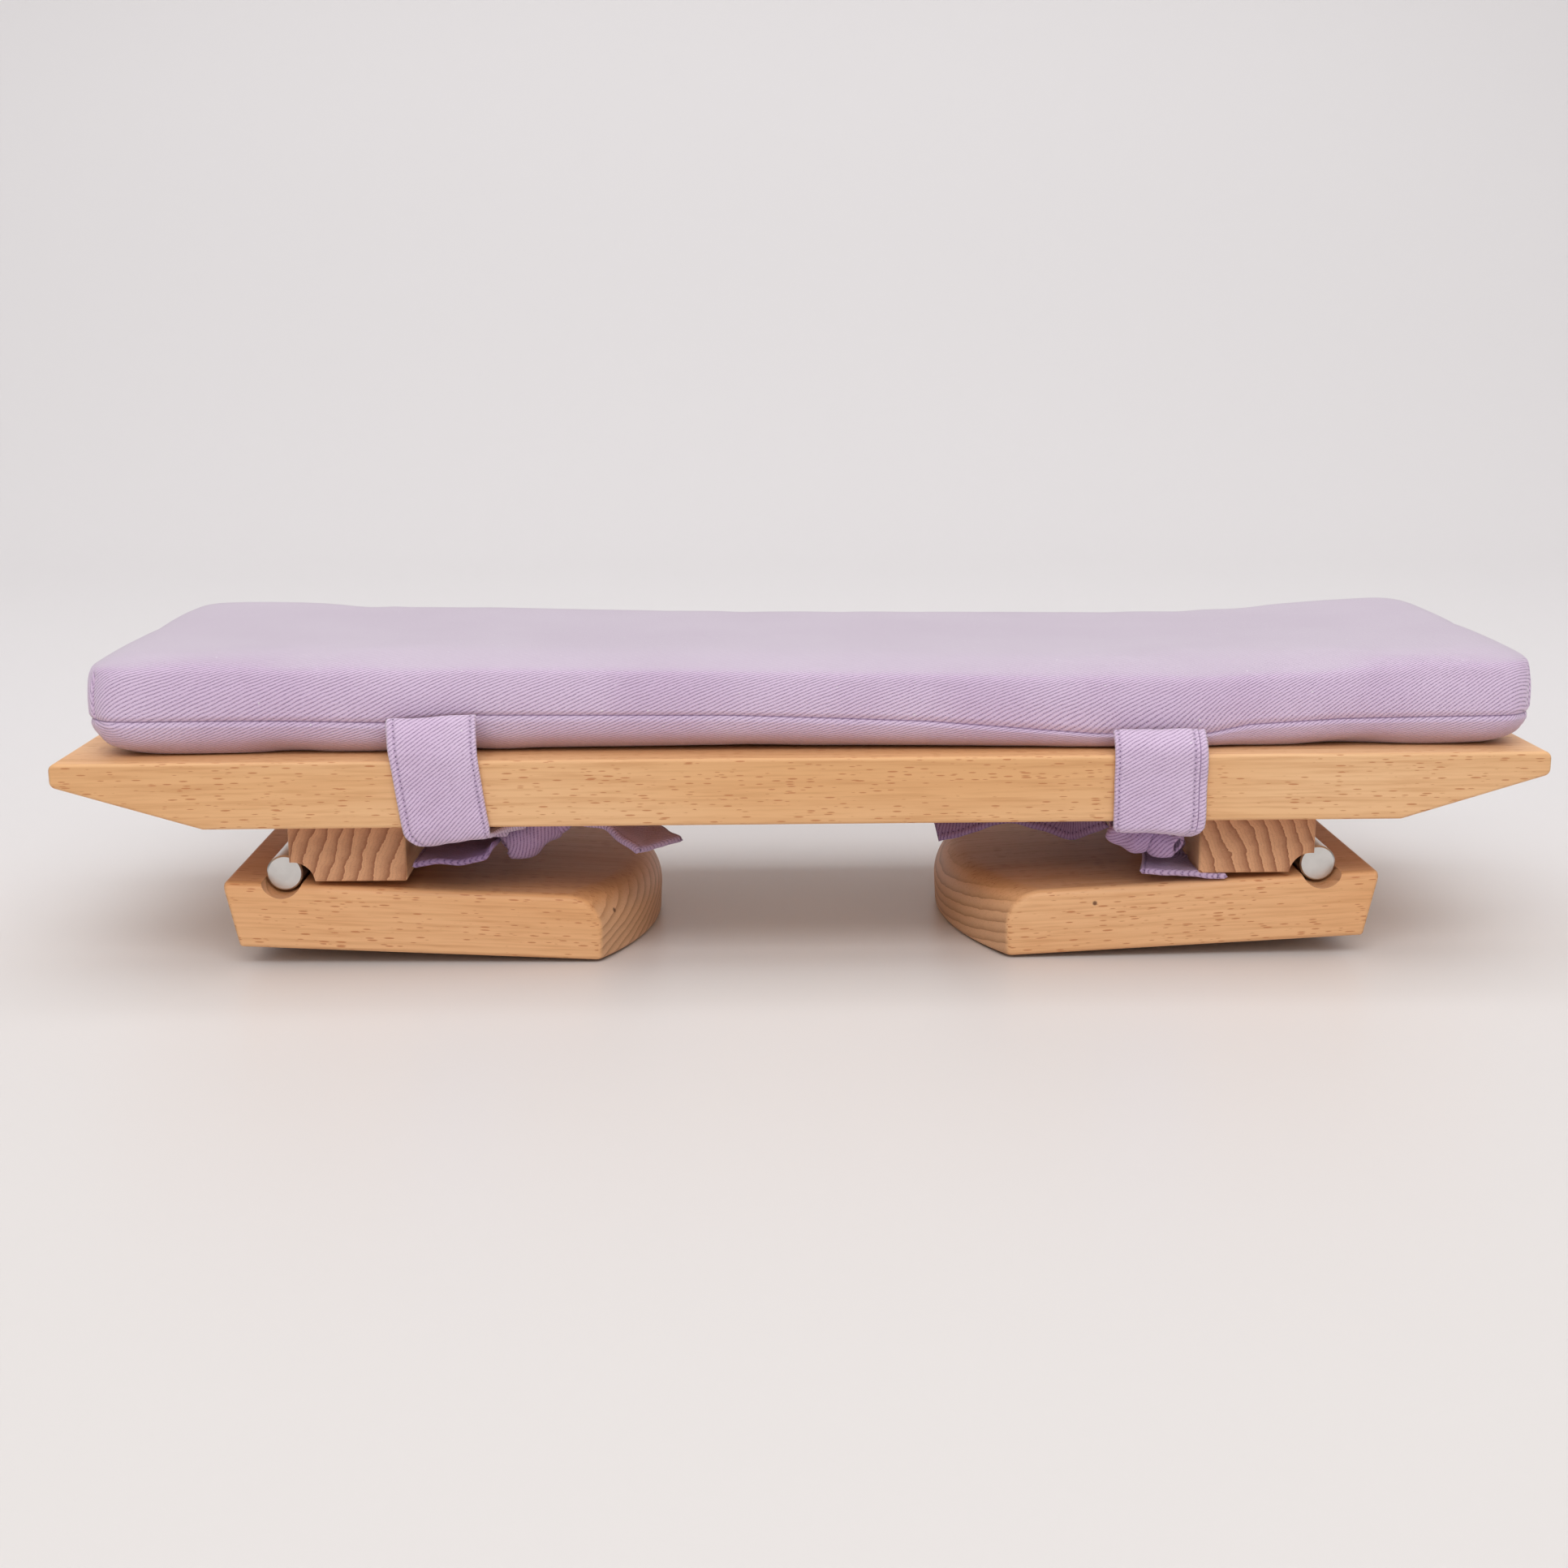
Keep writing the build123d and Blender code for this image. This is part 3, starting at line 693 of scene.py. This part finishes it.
def cut_seam_loops(mesh):
    """Adds the edges that the seam's and the sewn corners' grooves need."""
    work = bmesh.new()
    work.from_mesh(mesh)
    for offset in (-1.5, -0.8, -0.35, 0.0, 0.35, 0.8, 1.5):
        level = SEAM_Z + offset * MM
        bmesh.ops.bisect_plane(work, geom=work.verts[:] + work.edges[:] + work.faces[:], dist=1e-6,
                               plane_co=(0, 0, level), plane_no=(0, 0, 1))
    for sx, sy, angle in DARTS:
        centre, ray = dart_ray(sx, sy, angle)
        across = Vector((-ray.y, ray.x, 0))

        def beside_dart(face):
            middle = face.calc_center_median()
            return ((middle - centre).dot(ray) > DART_REACH
                    and abs((middle - centre).dot(across)) < DART_REACH
                    and SEAM_Z - 0.004 < middle.z < PAD_HIGH.z - 0.002)

        for offset in (-1.3, -0.7, -0.3, 0.0, 0.3, 0.7, 1.3):
            near = [face for face in work.faces if beside_dart(face)]
            verts = list({v for face in near for v in face.verts})
            edges = list({e for face in near for e in face.edges})
            bmesh.ops.bisect_plane(work, geom=verts + edges + near, dist=1e-6,
                                   plane_co=centre + across * offset * MM, plane_no=across)
    work.to_mesh(mesh)
    work.free()


def shape_cover(mesh):
    """Presses in the seams and gives the pad its tight edges, dips and hollows."""
    p = coords(mesh) / MM
    x, y, z = p[:, 0].copy(), p[:, 1].copy(), p[:, 2].copy()
    seam_z, low_z, high_z = SEAM_Z / MM, PAD_LOW.z / MM, PAD_HIGH.z / MM
    middle, half = (PAD_LOW + PAD_HIGH) / 2 / MM, (PAD_HIGH - PAD_LOW) / 2 / MM

    # the seam and the sewn corners, pressed in along the outward direction in plan
    box = np.stack([(x - middle.x) / half.x, (y - middle.y) / half.y], axis=1)
    side = ease(np.abs(box).max(axis=1), 0.86, 0.97)
    out = np.stack([np.sign(box[:, 0]) * ease(np.abs(box[:, 0]), 0.955, 0.995),
                    np.sign(box[:, 1]) * ease(np.abs(box[:, 1]), 0.85, 0.97)], axis=1)
    out /= np.maximum(np.linalg.norm(out, axis=1, keepdims=True), 1e-6)
    gap = np.abs(z - seam_z)
    push = SEAM_DEPTH * np.clip(1 - gap / SEAM_HALF, 0, 1) ** 1.5 * side
    for sx, sy, angle in DARTS:
        centre, ray = dart_ray(sx, sy, angle)
        cx, cy = x - centre.x / MM, y - centre.y / MM
        off = np.abs(cy * ray.x - cx * ray.y)
        live = (cx * ray.x + cy * ray.y > DART_REACH / MM) & (z > seam_z)
        fade = 1 - ease(z, seam_z + 11.0, seam_z + 15.5)
        dart = DART_DEPTH * fade * np.clip(1 - off / DART_HALF, 0, 1) ** 1.3
        push = np.where(live, np.maximum(push, dart), push)
        gap = np.where(live, np.minimum(gap, off + 3 * (1 - fade)), gap)
    x -= out[:, 0] * push
    y -= out[:, 1] * push
    layer = mesh.attributes.new("seam_gap", "FLOAT", "POINT")
    layer.data.foreach_set("value", np.where(side > 0.5, gap, 9.0) * MM)

    # the cover is cut square, so its edges are tighter than the filling's rounding
    front = ease(-y, 20, 66)
    below = np.clip((seam_z - z) / (seam_z - low_z), 0, 1)
    top_pull = 0.60 * rounding(high_z - z, TOP_EDGE)
    low_pull = 0.86 * rounding(z - low_z, LOW_EDGE)
    across, along = y - middle.y, x - middle.x
    y += np.sign(across) * ease(np.abs(across), 40, 60) * top_pull - front * low_pull
    x += np.sign(along) * ease(np.abs(along), 196, 222) * top_pull

    # it draws in under the seam
    y += 0.45 * np.interp(x, *zip(*TUCK)) * below ** 1.6 * front
    y -= 1.5 * below ** 1.6 * ease(y, 40, 66)
    x -= np.sign(box[:, 0]) * ease(np.abs(box[:, 0]), 0.93, 0.99) * below ** 1.2

    # the seam's dips, and the top's hollows
    weight = np.where(z > seam_z, np.clip(1 - (z - seam_z) / 19, 0, 1), 1 - below)
    z += np.interp(x, *zip(*SEAM_LINE)) * weight * front
    rise = ease(z, seam_z, high_z - 2)
    share = np.clip((y + 66) / 132, 0, 1)
    top = np.interp(x, *zip(*FRONT_FOLD)) * (1 - share) + np.interp(x, *zip(*BACK_FOLD)) * share
    z += (top + TOP_LIFT) * rise

    # it lies flat on the board, apart from a slight lift by the middle of the front
    side_height = seam_z - low_z
    rested = np.maximum(z - low_z - PRESSED_FLAT, 0) * side_height / (side_height - PRESSED_FLAT)
    z = np.where(z < seam_z, low_z + rested, z)
    z += 0.9 * np.exp(-((x + 30) / 65) ** 2) * below * ease(-y, 40, 66)
    z = np.maximum(z, low_z + 0.05)
    set_coords(mesh, np.stack([x, y, z], axis=1) * MM)


def lay_weave(mesh):
    """Lays the cloth's own measure over the pad: one piece over the top and down each side."""
    lower_panel_shift = 0.0007
    middle, half = (PAD_LOW + PAD_HIGH) / 2, (PAD_HIGH - PAD_LOW) / 2
    layer = mesh.uv_layers.new(name="weave")
    points = coords(mesh)
    values = np.empty((len(mesh.loops), 2))
    top, front, back = PAD_HIGH.z, PAD_LOW.y, PAD_HIGH.y
    for face in mesh.polygons:
        centre, normal = face.center, face.normal
        end_face = (abs(normal.x) > abs(normal.y) and abs(normal.z) < 0.9
                    and abs(centre.x - middle.x) > half.x - 0.02)
        for loop in face.loop_indices:
            x, y, z = points[mesh.loops[loop].vertex_index]
            if end_face:
                values[loop] = (x + (1 if centre.x > middle.x else -1) * (top - z), y)
            elif centre.z < SEAM_Z and y < middle.y:
                values[loop] = (x + lower_panel_shift, 2 * front - y + z - top)
            elif centre.z < SEAM_Z:
                values[loop] = (x + lower_panel_shift, 2 * back - y - z + top)
            else:
                values[loop] = (x, y + (1 if y < middle.y else -1) * (z - top))
    # towards the right the cloth was pulled askew, so its ribs climb more steeply there
    values[:, 1] -= 0.15 * np.maximum(values[:, 0] - 0.12, 0)
    layer.data.foreach_set("uv", values.reshape(-1))


def make_cushion():
    piece = cushion_pad()
    mesh = piece.data
    cut_seam_loops(mesh)
    lay_weave(mesh)
    shape_cover(mesh)
    # the cushion takes the full painted sheen on its top
    mesh.materials.append(twill("cushion_twill", angle=25, pitch=1.10, seamed=True, top_sheen_share=1.0))
    mesh.polygons.foreach_set("use_smooth", [True] * len(mesh.polygons))
    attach(piece, "seat")
    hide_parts("cushion_foam", "cushion_cover_top", "cushion_cover_bottom")


# ---------------------------------------------------------------- ties

STRAP = 0.0285
TIE_PITCH = 1.09
# Where the hems are stitched and where the strap's own edge shows beside its folded layer, across
# a tie in millimetres.
LEFT_HEMS, RIGHT_HEMS, TAIL_HEMS = (2.5, 27.2), (1.5, 26.0), (1.6, 26.4)
RIGHT_LAYER_EDGE = 27.6
HEM_DIP, DEEP_HEM_DIP = 0.3, 0.35
TAIL_GROOVES = tuple((hem, HEM_DIP) for hem in TAIL_HEMS)
# The seat board's front and back, the cushion's seam and the board's underside, in millimetres.
FRONT, BACK, SEAM, UNDER = FRONT_Y / MM, BACK_Y / MM, SEAM_Z / MM, UNDER_Z / MM


def tie(name, left, right, material, held, rests_on, *nodes, width=STRAP, **shape):
    """A length of tie between two edge lines. It rides on the seat. width, the strap's width or
    in a knot the narrower band that the strap is bunched into, is not used."""
    piece = ribbon(name, left, right, material, **shape)
    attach(piece, "seat")
    if nodes:
        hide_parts(*nodes)


def middle_of(node):
    """Where a strap's middle lies along the cushion, in millimetres."""
    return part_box(node)[0].x / MM + STRAP / MM / 2


def placed(x, y, *points):
    """Points given as (across, out, height), of which the first two are counted from (x, y)."""
    return [(x + across, y + out, height) for across, out, height in points]


def wrap_edges(centre, axis, radii, width, turns, start, grow):
    """Edge lines of a band wound round an axis, in millimetres: a spiral that grows as it goes."""
    steps, uneven, left_in, right_in = 26, 0.06, 0.07, 0.05
    axis = Vector(axis).normalized()
    first = axis.cross(Vector((0, 1, 0))).normalized()
    second = axis.cross(first)
    left, right = [], []
    for share in np.linspace(0, 1, steps):
        angle = start + 2 * math.pi * turns * share
        major, minor = radii[0] + grow * share, radii[1] + grow * share
        spoke = first * major * math.cos(angle) + second * minor * math.sin(angle)
        half = width / 2 * (1 + uneven * math.sin(3 * angle))
        middle = Vector(centre) + spoke
        left.append(tuple(middle - axis * half - spoke * left_in))
        right.append(tuple(middle + axis * half - spoke * right_in))
    return left, right


def barrel(height):
    """A band's bulge: fullest at the middle of its width."""
    return lambda t, s: height * (1 - (2 * s - 1) ** 2) * (0.8 + 0.2 * np.cos(9 * t))


def rolled(t, s):
    """The end waves a little and its right corner turns up."""
    return t ** 2 * (1.3 * np.sin(2 * math.pi * (s + 0.1)) + 2.6 * ease(s, 0.86, 1.0))


def bellied(t, s):
    """Hangs with its face turned to the front, then lies back under the seat."""
    return -5.0 * np.sin(math.pi * np.clip(s * 1.15, 0, 1)) * (0.9 + 0.1 * np.cos(5 * t))


def make_front_ties(weave):
    # left: the tie leans to the right as it goes down, and its left edge hangs lower
    x = middle_of("tie_front_left")
    left = placed(x, FRONT, (-18.1, 5.0, SEAM + 1.2), (-17.9, 2.4, SEAM - 1.5),
                            (-17.1, -0.6, 75.5), (-16.2, -1.2, 70), (-14.7, -1.2, 59),
                            (-13.5, -1.2, 50.6), (-12.3, -1.0, 46.6), (-8.8, 0.9, 43.8),
                            (-4.0, 6.0, 43.6), (5.0, 14, 44.0), (16, 22, 43.0))
    right = placed(x, FRONT, (10.9, 5.0, SEAM + 2.4), (11.0, 2.6, SEAM - 0.5), (11.4, -0.6, 75.5),
                             (12.0, -1.2, 70), (13.4, -1.2, 59), (14.6, -1.2, 51),
                             (14.8, -1.0, 48.4), (15.2, 1.0, 46.9), (17.0, 6.0, 46.9),
                             (21.5, 14, 47.0), (27, 22, 46.5))
    tie("tie_left_front", left, right, weave["left"], "hung", ["cushion", "seat_board"],
        "tie_front_left", rows=120, cols=30, ripple=1.0, ripples=2.0, seed=0.6,
        ease_ripple=(0.6, 1.0), wrinkle=0.5,
        grooves=tuple((hem, DEEP_HEM_DIP) for hem in LEFT_HEMS))

    # right: hangs straight, with its right edge lower and two layers showing along it
    x = middle_of("tie_front_right")
    left = placed(x, FRONT, (-15.1, 5.0, SEAM - 4.6), (-15.1, 2.4, 77.5), (-15.1, -0.6, 74.0),
                            (-15.1, -1.2, 69), (-15.1, -1.2, 59), (-15.1, -1.2, 50.5),
                            (-15.0, -0.8, 48.0), (-14.0, 1.0, 46.9), (-12.0, 5.0, 46.9),
                            (-9.0, 10, 46.5), (-6.0, 15, 45.0))
    right = placed(x, FRONT, (15.2, 5.0, SEAM - 4.4), (15.2, 2.4, 77.6), (15.2, -0.6, 74.0),
                             (15.2, -1.2, 69), (15.1, -1.2, 59), (15.0, -1.2, 50),
                             (14.4, -0.8, 46.8), (12.4, 1.5, 45.2), (10.0, 5.0, 44.6),
                             (7.0, 10, 44.0), (4.0, 15, 42.5))
    tie("tie_right_front", left, right, weave["right"], "hung", ["cushion", "seat_board"],
        "tie_front_right", rows=110, cols=30, ripple=1.0, ripples=2.0, seed=1.9,
        ease_ripple=(0.65, 1.0), wrinkle=0.5,
        grooves=((RIGHT_HEMS[0], HEM_DIP), (RIGHT_HEMS[1], DEEP_HEM_DIP), (28.0, 0.5)))


def make_back_ties(weave):
    """Down behind the seat and forward under it to the knots."""
    half, knot_half = 14.1, 7.5
    for side, knot_x, knot_y, seed in (("left", -94.0, -40.0, 1.7), ("right", 113.0, -50.0, 3.7)):
        x = middle_of("tie_back_" + side)
        edges = []
        for hand in (1, -1):
            w = hand * half
            down = placed(x + w, BACK, (0, -5.0, SEAM + 0.5), (0, -2.5, SEAM - 2.0), (0, 0.6, 75.0),
                          (0, 1.2, 70), (0, 1.2, 58), (0, 1.1, 50), (0, 0.2, 47.2))
            forward = [(x + w * 0.98, BACK - 4.0, UNDER - 3.0),
                       (x + w * 0.97, BACK - 20, UNDER - 1.9),
                       (x + w * 0.95 + (knot_x - x) * 0.15, BACK - 60, UNDER - 1.9),
                       (x + w * 0.80 + (knot_x - x) * 0.5, (BACK - 60 + knot_y) / 2, UNDER - 2.4),
                       (knot_x + hand * knot_half, knot_y, UNDER - 4.5)]
            edges.append(down + forward)
        tie("tie_%s_back" % side, *edges, weave[side], "hung", ["cushion", "seat_board"],
            "tie_back_" + side, rows=200, cols=26, ripple=1.1, ripples=2.0, seed=seed,
            ease_ripple=(0.8, 1.0), wrinkle=0.5)


def make_knots(bunched):
    """Bands wound round the gathered straps, in a darker copy of the twill: painted shade."""
    folds = {"ripples": 1.1, "ease_ripple": (-0.2, 0.4)}
    edges = wrap_edges((-92.9, -46.5, 41.1), (0.86, 0.18, 0.42), radii=(4.1, 4.4), width=18.5,
                       turns=1.3, start=2.3, grow=1.4)
    tie("tie_left_knot", *edges, bunched, "gathered", ["tie_left_front", "tie_left_back"],
        "tie_knot_left", width=0.0185, rows=150, cols=40, ripple=0.3, seed=0.4, crease=barrel(2.9),
        wrinkle=1.1, **folds)
    edges = wrap_edges((-84.0, -45.0, 43.8), (0.72, -0.35, 0.6), radii=(2.7, 2.9), width=12,
                       turns=1.2, start=0.4, grow=1.3)
    tie("tie_left_knot_end", *edges, bunched, "gathered", ["tie_left_knot"], width=0.013, rows=90,
        cols=36, ripple=0.25, seed=1.4, crease=barrel(1.6), wrinkle=0.9, **folds)
    edges = wrap_edges((109.5, -60.0, 43.0), (0.85, -0.1, -0.38), radii=(3.9, 4.0), width=14,
                       turns=1.3, start=2.0, grow=1.3)
    tie("tie_right_knot", *edges, bunched, "gathered", ["tie_right_front", "tie_right_back"],
        "tie_knot_right", width=0.014, rows=130, cols=40, ripple=0.3, seed=2.2, crease=barrel(2.0),
        wrinkle=1.2, **folds)
    edges = wrap_edges((119.0, -61.5, 40.6), (0.78, -0.5, -0.3), radii=(3.2, 3.0), width=13,
                       turns=1.25, start=4.0, grow=1.4)
    tie("tie_right_knot_end", *edges, bunched, "gathered", ["tie_right_knot"], width=0.014, rows=120,
        cols=40, ripple=0.3, seed=3.4, crease=barrel(1.8), wrinkle=1.0, **folds)


def make_tails(plain, shaded):
    """The straps' free ends, past the knots, in darker copies of the twill: painted shade."""
    near = [(-84, -51, 45.5), (-76, -53, 45.6), (-66.6, -53, 43.2), (-60, -57, 39.4),
            (-55.5, -60, 36.6)]
    far = [(-84, -41, 43.5), (-68, -31.5, 43.0), (-56, -30, 40.2), (-48.4, -31, 37.6),
           (-40.8, -37, 34.9)]
    tie("tie_left_tail_inner", far, near, plain, "gathered", ["tie_left_knot"], "tie_tails_left",
        thick=2.6, rows=80, cols=30, wrinkle=0.8, seed=5.1, grooves=TAIL_GROOVES)
    near = [(-108, -38, 42), (-124, -42, 38), (-128.6, -55, 34.6), (-129, -67.5, 33.4)]
    far = [(-97, -40, 43), (-100, -45, 40.5), (-102, -55, 38.2), (-101.5, -67.5, 38.6)]
    tie("tie_left_tail_front", near, far, shaded, "gathered", ["tie_left_knot"],
        thick=2.2, rows=80, cols=34, wrinkle=0.7, seed=6.3, grooves=TAIL_GROOVES, crease=rolled)
    near = [(104, -48, 41.0), (93.1, -40, 34.6), (84, -38, 37.2), (73.3, -37.5, 39.8),
            (66.3, -37.5, 39.2), (55.4, -37.5, 35.6), (47.2, -37.5, 33.9)]
    far = [(104, -30, 46.5), (93, -20, 45.8), (82, -17, 46.6), (72, -16, 47.2), (63, -16, 46.8),
           (54, -17, 45.0), (44.5, -18, 43.0)]
    tie("tie_right_tail_inner", near, far, shaded, "gathered", ["tie_right_knot"], "tie_tails_right",
        rows=90, cols=34, wrinkle=0.6, seed=7.7, grooves=TAIL_GROOVES[:1], crease=bellied)
    near = [(113.5, -56, 41.5), (114.5, -51, 37.5), (115, -46.5, 33.4), (115.2, -51, 31.0),
            (111.6, -65.5, 30.0)]
    far = [(126, -57, 41.5), (129.6, -52, 36.5), (130.4, -46.5, 31.5), (138, -50, 27.5),
           (141.2, -65.5, 27.5)]
    tie("tie_right_tail_caught", near, far, plain, "gathered", ["tie_right_knot", "leg_right"],
        thick=2.2, rows=90, cols=30, wrinkle=0.5, seed=8.9, grooves=TAIL_GROOVES)


def make_ties():
    weave = {
        "left": twill("tie_twill_left", angle=31, pitch=TIE_PITCH, stitch_lines=LEFT_HEMS),
        "right": twill("tie_twill_right", angle=30, pitch=TIE_PITCH, stitch_lines=RIGHT_HEMS,
                       edge_lines=(RIGHT_LAYER_EDGE,)),
    }
    # painted shade: darker copies of the twill for the tails that lie in shade under the seat
    plain = twill("tie_twill_tail_painted_shade", angle=31, pitch=TIE_PITCH, stitch_lines=TAIL_HEMS,
                  tone=(0.80, 0.76, 0.82), sheen=0.15)
    shaded = twill("tie_twill_under_painted_shade", angle=31, pitch=TIE_PITCH, stitch_lines=TAIL_HEMS,
                   tone=(0.50, 0.42, 0.54), sheen=0.06)
    # painted shade: a darker copy of the twill for the knots under the seat
    bunched = twill("tie_twill_knot_painted_shade", angle=48, pitch=TIE_PITCH, tone=(0.70, 0.62, 0.74), sheen=0.15)
    make_front_ties(weave)
    make_back_ties(weave)
    make_knots(bunched)
    make_tails(plain, shaded)


# ---------------------------------------------------------------- build

# The legs lean while folded, and are a little darker and greyer than the seat. Their faces that
# look up or down are darker still: painted shade for the shade under the seat, partly a quieter
# colour of their own.
LEG_LEAN = math.radians(2.85)
LEG_TONE_AND_SHADE = {"tone": (1.0, 0.93, 0.88), "wide_shade_tone": (0.80, 0.79, 0.82)}


def dress_cad():
    # a small dark knot on the left foot's edge and on the right leg's front, with its radius
    (low, high), (right_low, _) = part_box("leg_left"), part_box("leg_right")
    left_knot = ((high.x - 0.0140, low.y + 0.0094, low.z + 0.0157), 0.0011)
    right_knot = ((right_low.x + 0.0471, right_low.y, right_low.z + 0.0190), 0.0010)
    looks = {
        "seat_board": beech("beech_seat", pith=(-0.03, -0.20), ring=0.0060),
        "leg_left": beech("beech_leg_left", tilt=-LEG_LEAN, pith=(0.15, -0.41), ring=0.0032,
                          shift=(0.3, 0, 0), wander=0.005, knots=(left_knot,), **LEG_TONE_AND_SHADE),
        "leg_right": beech("beech_leg_right", tilt=LEG_LEAN, pith=(-0.012, 0.23), ring=0.0036,
                           shift=(-0.2, 0, 0), wander=0.006, knots=(right_knot,), **LEG_TONE_AND_SHADE),
        "cleat_left": end_grain("beech_cleat_left", lean=0.40, curve=6.0),
        "cleat_right": end_grain("beech_cleat_right", lean=-0.34, curve=-3.0, shift=(0.1, 0, 0)),
    }
    dowel = end_grain("beech_dowel", lean=0.1, curve=0.0, shift=(0.2, 0, 0.1))
    nickel = brushed("nickel", tone=(0.78, 0.77, 0.74, 1), rough=0.22)
    keeper = brushed("keeper_steel", tone=(0.7, 0.69, 0.67, 1), rough=0.34)
    for side in SIDES:
        axis = HINGE[side]
        looks["hinge_rod_" + side] = brushed("rod_steel_" + side, axis_at=(axis.x, axis.z))
        looks["cleat_dowels_" + side] = dowel
        looks["keeper_plate_" + side] = keeper
        for magnets in ("leg_rod_magnets_", "cleat_rod_magnets_", "fold_magnets_"):
            looks[magnets + side] = nickel
    looks["cushion_foam"] = foam_look()
    spare = twill("spare_twill")
    for name, node in NODES.items():
        look = looks.get(name, spare)
        if not node.material_slots:
            node.data.materials.append(look)
        for place in node.material_slots:
            place.material = look


make_camera()
make_stage()
make_light()
dress_cad()
make_cushion()
make_ties()
